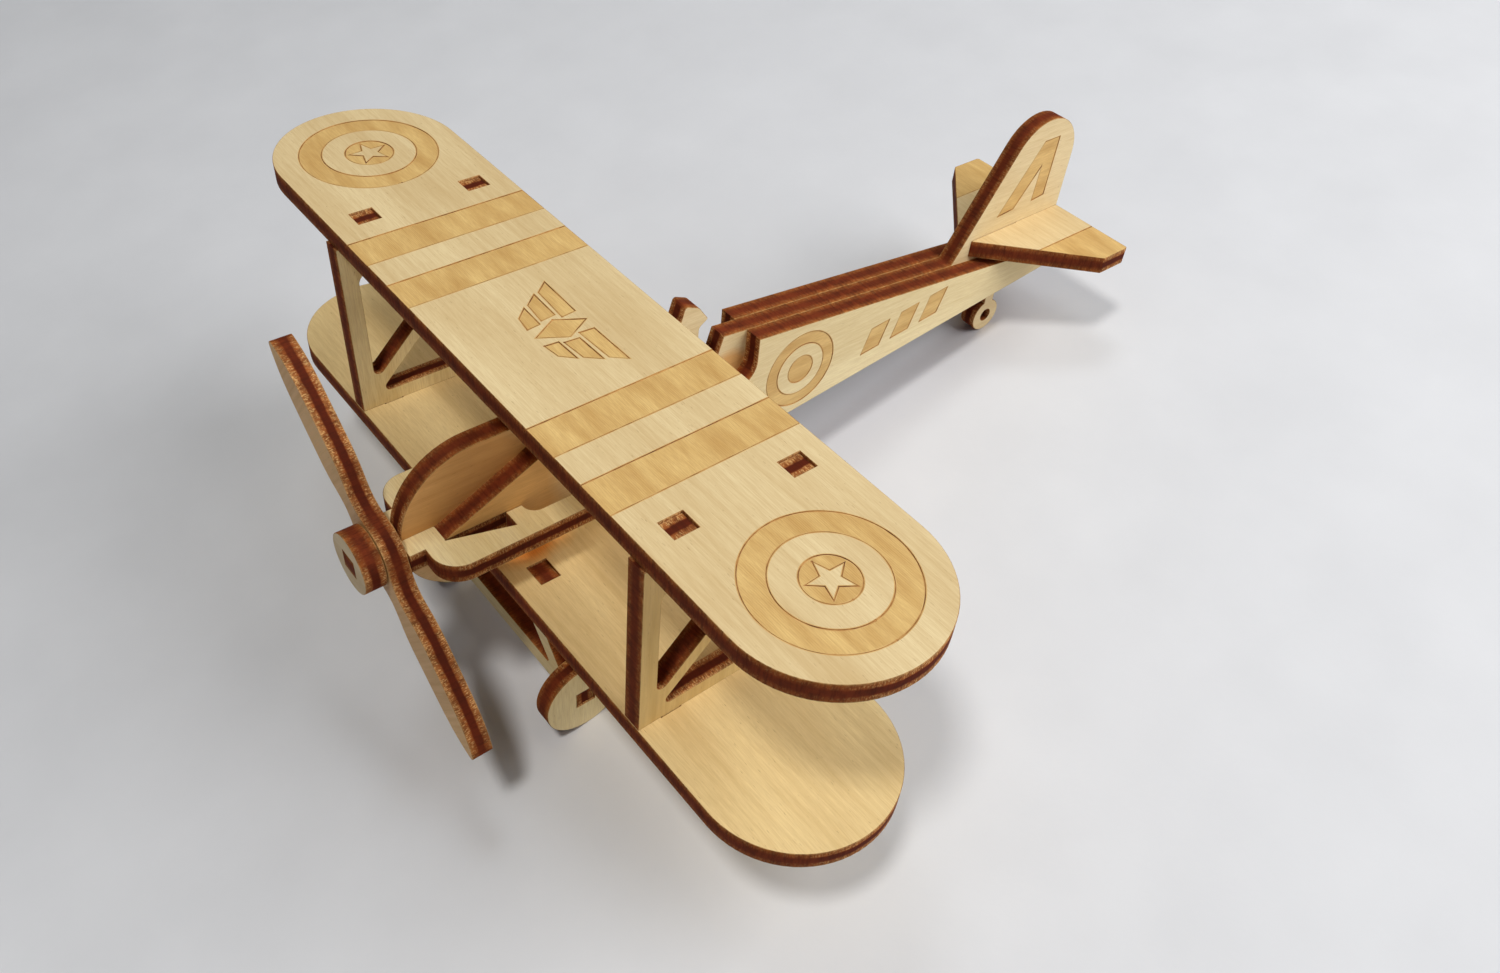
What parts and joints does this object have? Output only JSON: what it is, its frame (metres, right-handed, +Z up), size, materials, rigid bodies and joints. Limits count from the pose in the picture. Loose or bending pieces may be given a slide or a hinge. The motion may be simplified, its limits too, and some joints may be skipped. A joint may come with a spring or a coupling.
{
  "type": "biplane scale model",
  "caption": "Slot-together plywood biplane model with two wings, interplane struts, a tail fin, fixed wheels and a free-turning propeller.",
  "frame": {"origin": "on the floor, under the middle of the model's bounding box", "axes": "+X to the model's port side, -Y to its nose, +Z up; the model stands nose-up on its wheels and tail ring"},
  "size_m": [0.1316, 0.1378, 0.0566],
  "materials": {
    "plywood": "bare sanded plywood with scorched laser-cut edges"
  },
  "bodies": {
    "airframe": {"upper_wing": "plywood", "lower_wing": "plywood", "keel": "plywood", "side_plate_port": "plywood", "side_plate_starboard": "plywood", "nose_deck": "plywood", "tailplane": "plywood", "strut_port": "plywood", "strut_starboard": "plywood", "gear_frame": "plywood", "wheel_port": "plywood", "wheel_starboard": "plywood", "hub_disc": "plywood"},
    "propeller": {"propeller": "plywood"}
  },
  "joints": [
    {"name": "propeller_spin", "type": "hinge", "parent": "airframe", "child": "propeller", "pos_m": [0, -0.0632, 0.03584], "axis": [0, 0.9781, -0.2083], "continuous": true}
  ]
}
